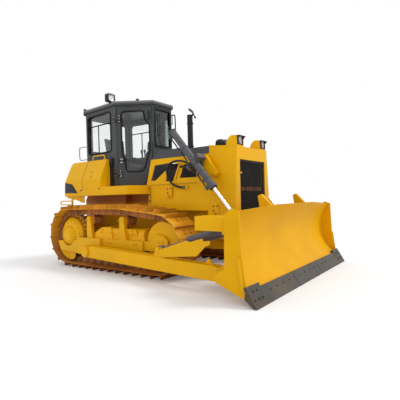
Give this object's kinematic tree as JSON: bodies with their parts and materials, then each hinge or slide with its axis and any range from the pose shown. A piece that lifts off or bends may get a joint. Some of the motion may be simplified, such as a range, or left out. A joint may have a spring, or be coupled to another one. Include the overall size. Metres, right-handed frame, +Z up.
{
  "type": "track-type bulldozer",
  "caption": "Crawler bulldozer with a straight push blade, twin lift cylinders, enclosed hexagonal cab and single-grouser steel tracks.",
  "frame": {"origin": "centre of the overall bounding box, on the ground", "axes": "+X forward to the blade, +Y to the machine's left, +Z up"},
  "size_m": [5.14, 3.388, 3.219],
  "materials": {
    "yellow_paint": "semi-gloss paint",
    "dark_paint": "satin paint",
    "black_paint": "matte paint",
    "track_steel": "rust-dusted steel",
    "edge_steel": "dark hot-rolled steel",
    "chrome_rod": "polished",
    "cab_glazing": "clear, slightly green",
    "lens": "clear lens",
    "cab_plastic": "grained",
    "seat_fabric": "woven",
    "hose_rubber": "matte",
    "cast_block": "cast"
  },
  "bodies": {
    "tractor": {"main_frame": "yellow_paint", "drawbar": "yellow_paint", "radiator_guard": "yellow_paint", "radiator_grille": "black_paint", "radiator_core": "black_paint", "engine_block": "cast_block", "hood_sides": "yellow_paint", "hood_top": "dark_paint", "cowl": "dark_paint", "exhaust_pipe": "black_paint", "pre_cleaner": "black_paint", "cab_shell": "dark_paint", "cab_roof": "dark_paint", "cab_glass": "cab_glazing", "seat_base": "cab_plastic", "operator_seat": "seat_fabric", "control_console": "cab_plastic", "deck": "yellow_paint", "side_boxes": "yellow_paint", "fuel_tank": "yellow_paint", "head_lamps": "yellow_paint", "work_lamps": "black_paint", "lamp_lenses": "lens", "grab_handles": "yellow_paint", "lift_hoses": "hose_rubber", "track_right": "track_steel", "track_left": "track_steel", "track_frames": "yellow_paint", "sprockets": "track_steel", "final_drives": "yellow_paint", "idlers": "yellow_paint", "track_rollers": "yellow_paint", "carrier_rollers": "track_steel"},
    "blade_assembly": {"blade": "yellow_paint", "cutting_edge": "edge_steel", "push_arms": "yellow_paint", "tilt_cylinder": "dark_paint", "screw_brace": "dark_paint", "brace_guards": "yellow_paint"},
    "barrel_right": {"lift_barrel_right": "dark_paint", "yoke_right": "dark_paint"},
    "barrel_left": {"lift_barrel_left": "dark_paint", "yoke_left": "dark_paint"},
    "rod_right": {"lift_rod_right": "chrome_rod"},
    "rod_left": {"lift_rod_left": "chrome_rod"},
    "cab_door_right": {"door_right": "dark_paint", "door_glass_right": "cab_glazing"},
    "cab_door_left": {"door_left": "dark_paint", "door_glass_left": "cab_glazing"},
    "exhaust_cap": {"rain_cap": "black_paint"}
  },
  "joints": [
    {"name": "blade_lift", "type": "hinge", "parent": "tractor", "child": "blade_assembly", "pos_m": [-0.908, 0, 0.365], "axis": [0, -1, 0], "range_deg": [-9, 18]},
    {"name": "lift_right_swing", "type": "hinge", "parent": "tractor", "child": "barrel_right", "pos_m": [1.038, -0.75, 1.781], "axis": [0, -1, 0], "range_deg": [-11.88, 23.76]},
    {"name": "lift_right_stroke", "type": "slide", "parent": "barrel_right", "child": "rod_right", "axis": [0.6439, 0, -0.7651], "range_m": [-0.7226, 0.3613]},
    {"name": "door_right_swing", "type": "hinge", "parent": "tractor", "child": "cab_door_right", "pos_m": [-0.85967, -0.65598, 2.2], "axis": [0, 0, -1], "range_deg": [0, 115]},
    {"name": "lift_left_swing", "type": "hinge", "parent": "tractor", "child": "barrel_left", "pos_m": [1.038, 0.75, 1.781], "axis": [0, -1, 0], "range_deg": [-11.88, 23.76]},
    {"name": "lift_left_stroke", "type": "slide", "parent": "barrel_left", "child": "rod_left", "axis": [0.6439, 0, -0.7651], "range_m": [-0.7226, 0.3613]},
    {"name": "door_left_swing", "type": "hinge", "parent": "tractor", "child": "cab_door_left", "pos_m": [-0.85967, 0.65598, 2.2], "axis": [0, 0, 1], "range_deg": [0, 115]},
    {"name": "rain_cap_flap", "type": "hinge", "parent": "tractor", "child": "exhaust_cap", "pos_m": [0.446, 0, 2.738], "axis": [0, 1, 0], "range_deg": [-50, 20]}
  ],
  "couplings": [
    {"joint": "lift_right_swing", "follows": "blade_lift", "ratio": 1.32},
    {"joint": "lift_left_swing", "follows": "blade_lift", "ratio": 1.32},
    {"joint": "lift_right_stroke", "follows": "blade_lift", "m_per_rad": -2.3},
    {"joint": "lift_left_stroke", "follows": "blade_lift", "m_per_rad": -2.3}
  ]
}
